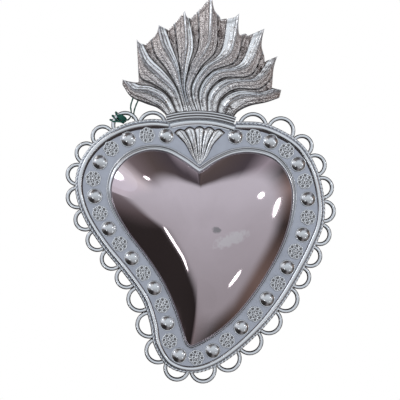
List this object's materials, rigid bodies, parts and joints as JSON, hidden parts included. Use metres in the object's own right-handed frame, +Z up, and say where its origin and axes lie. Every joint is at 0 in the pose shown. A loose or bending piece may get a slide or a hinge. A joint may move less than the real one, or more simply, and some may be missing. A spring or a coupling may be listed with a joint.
{
  "type": "ex-voto heart",
  "caption": "Metal ex-voto heart to hang on a wall: mirror dome, border of studs and rosettes, scalloped edge, crest of embossed flames, and a hinged ring on the back.",
  "frame": {"origin": "centre of the rear face of the heart's back plate, on the wall, midway up the heart and across it", "axes": "-Y out of the wall towards the viewer, +Z up to the flames, +X to the viewer's right"},
  "size_m": [0.1363, 0.0264, 0.194],
  "materials": {
    "plating": "bright plated, softly worn",
    "mirror_plating": "mirror polished plating",
    "satin_ground": "satin plating",
    "thread": "twisted thread"
  },
  "bodies": {
    "heart": {"back_plate": "plating", "side_wall": "plating", "border_plate": "satin_ground", "dome": "mirror_plating", "bezel": "mirror_plating", "domed_studs": "plating", "rosettes": "plating", "rim_roll": "plating", "rim_rope": "plating", "scallop_gallery": "plating", "collar_band": "plating", "collar_bead": "plating", "palmette_fan": "plating", "flame_front": "plating", "flame_back": "plating", "hanger_strap": "plating", "tag_thread": "thread"},
    "ring": {"hanger_ring": "plating"}
  },
  "joints": [
    {"name": "ring_swing", "type": "hinge", "parent": "heart", "child": "ring", "pos_m": [0.001, -0.0036, 0.09225], "axis": [1, 0, 0], "range_deg": [0, 180]}
  ]
}
